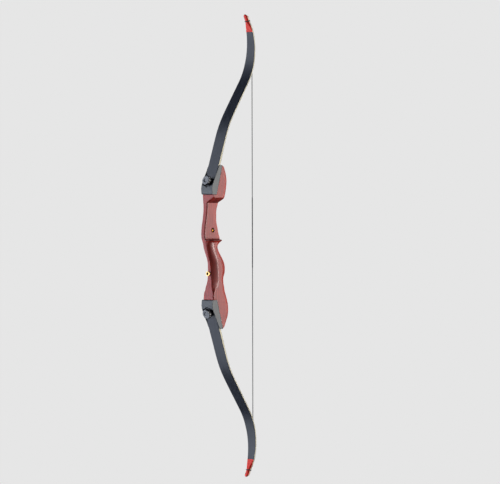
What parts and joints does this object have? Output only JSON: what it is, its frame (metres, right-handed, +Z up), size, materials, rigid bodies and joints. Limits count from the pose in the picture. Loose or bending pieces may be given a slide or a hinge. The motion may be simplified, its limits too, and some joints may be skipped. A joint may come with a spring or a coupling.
{
  "type": "recurve bow",
  "caption": "Take-down recurve bow with a carved wooden riser, laminated recurve limbs held by hand knobs, brass bushings and a served string.",
  "frame": {"origin": "centre of the stabiliser bushing's mouth, on the bow's middle plane", "axes": "+Z up along the string towards the upper limb, +X from the bow towards the archer, +Y to the closed side of the riser; the sight window opens to -Y"},
  "size_m": [0.1982, 0.045, 1.3502],
  "materials": {
    "riser_wood": "satin lacquer",
    "pocket_black": "satin",
    "glass_black": "satin",
    "core_cream": "satin lacquer",
    "overlay_red": "gloss",
    "brass_fitting": "machined",
    "washer_black": "satin",
    "knob_black": "satin",
    "bolt_steel": "zinc plated",
    "string_black": "waxed",
    "serving_black": "waxed"
  },
  "bodies": {
    "riser": {"riser_body": "riser_wood", "upper_limb_pocket": "pocket_black", "lower_limb_pocket": "pocket_black", "upper_bolt_insert": "brass_fitting", "lower_bolt_insert": "brass_fitting", "stabiliser_bushing": "brass_fitting", "plunger_bushing": "brass_fitting", "sight_inserts": "brass_fitting"},
    "upper_washer": {"upper_limb_washer": "washer_black"},
    "upper_knob": {"upper_knob": "knob_black", "upper_limb_bolt": "bolt_steel"},
    "upper_limb": {"upper_limb_core": "core_cream", "upper_limb_wedge": "core_cream", "upper_limb_front_glass": "glass_black", "upper_limb_belly_glass": "glass_black", "upper_tip_overlay": "overlay_red"},
    "upper_string_end": {"upper_string_loop": "string_black", "upper_end_serving": "serving_black"},
    "upper_string": {"upper_string_strands": "string_black", "upper_centre_serving": "serving_black"},
    "lower_washer": {"lower_limb_washer": "washer_black"},
    "lower_knob": {"lower_knob": "knob_black", "lower_limb_bolt": "bolt_steel"},
    "lower_limb": {"lower_limb_core": "core_cream", "lower_limb_wedge": "core_cream", "lower_limb_front_glass": "glass_black", "lower_limb_belly_glass": "glass_black", "lower_tip_overlay": "overlay_red"},
    "lower_string_end": {"lower_string_loop": "string_black", "lower_end_serving": "serving_black"},
    "lower_string": {"lower_string_strands": "string_black", "lower_centre_serving": "serving_black"}
  },
  "joints": [
    {"name": "upper_washer_lift", "type": "slide", "parent": "riser", "child": "upper_washer", "axis": [-0.9449, 0, 0.3272], "range_m": [0, 0.01125]},
    {"name": "upper_knob_turn", "type": "hinge", "parent": "upper_washer", "child": "upper_knob", "pos_m": [0.0093, 0, 0.26338], "axis": [-0.9449, 0, 0.3272], "range_deg": [0, 3240]},
    {"name": "upper_limb_draw", "type": "hinge", "parent": "riser", "child": "upper_limb", "pos_m": [0.04233, 0, 0.35057], "axis": [0, 1, 0], "range_deg": [0, 22], "stiffness_Nm_per_rad": 147, "deforming": ["upper_limb_core", "upper_limb_wedge", "upper_limb_front_glass", "upper_limb_belly_glass"]},
    {"name": "upper_string_end_swing", "type": "hinge", "parent": "upper_limb", "child": "upper_string_end", "pos_m": [0.16684, 0, 0.7327], "axis": [0, -1, 0], "range_deg": [0, 38.27], "deforming": ["upper_string_loop", "upper_end_serving"]},
    {"name": "upper_string_swing", "type": "hinge", "parent": "upper_string_end", "child": "upper_string", "pos_m": [0.186, 0, 0.65861], "axis": [0, -1, 0], "range_deg": [0, 14.51], "deforming": ["upper_string_strands", "upper_centre_serving"]},
    {"name": "lower_washer_lift", "type": "slide", "parent": "riser", "child": "lower_washer", "axis": [-0.9449, 0, -0.3272], "range_m": [0, 0.01125]},
    {"name": "lower_knob_turn", "type": "hinge", "parent": "lower_washer", "child": "lower_knob", "pos_m": [0.0093, 0, -0.11138], "axis": [-0.9449, 0, -0.3272], "range_deg": [0, 3240]},
    {"name": "lower_limb_draw", "type": "hinge", "parent": "riser", "child": "lower_limb", "pos_m": [0.04233, 0, -0.19857], "axis": [0, -1, 0], "range_deg": [0, 22], "stiffness_Nm_per_rad": 147, "deforming": ["lower_limb_core", "lower_limb_wedge", "lower_limb_front_glass", "lower_limb_belly_glass"]},
    {"name": "lower_string_end_swing", "type": "hinge", "parent": "lower_limb", "child": "lower_string_end", "pos_m": [0.16684, 0, -0.5807], "axis": [0, 1, 0], "range_deg": [0, 32.9], "deforming": ["lower_string_loop", "lower_end_serving"]},
    {"name": "lower_string_swing", "type": "hinge", "parent": "lower_string_end", "child": "lower_string", "pos_m": [0.186, 0, -0.50661], "axis": [0, 1, 0], "range_deg": [0, 14.51], "deforming": ["lower_string_strands", "lower_centre_serving"]}
  ],
  "couplings": [
    {"joint": "upper_knob_turn", "follows": "upper_washer_lift", "rad_per_m": 5026.5},
    {"joint": "upper_string_end_swing", "follows": "upper_limb_draw", "ratio": 1.7392},
    {"joint": "upper_string_swing", "follows": "upper_limb_draw", "ratio": 0.65899},
    {"joint": "lower_knob_turn", "follows": "lower_washer_lift", "rad_per_m": 5026.5},
    {"joint": "lower_limb_draw", "follows": "upper_limb_draw", "ratio": 1},
    {"joint": "lower_string_end_swing", "follows": "upper_limb_draw", "ratio": 1.4949},
    {"joint": "lower_string_swing", "follows": "upper_limb_draw", "ratio": 0.65899}
  ]
}
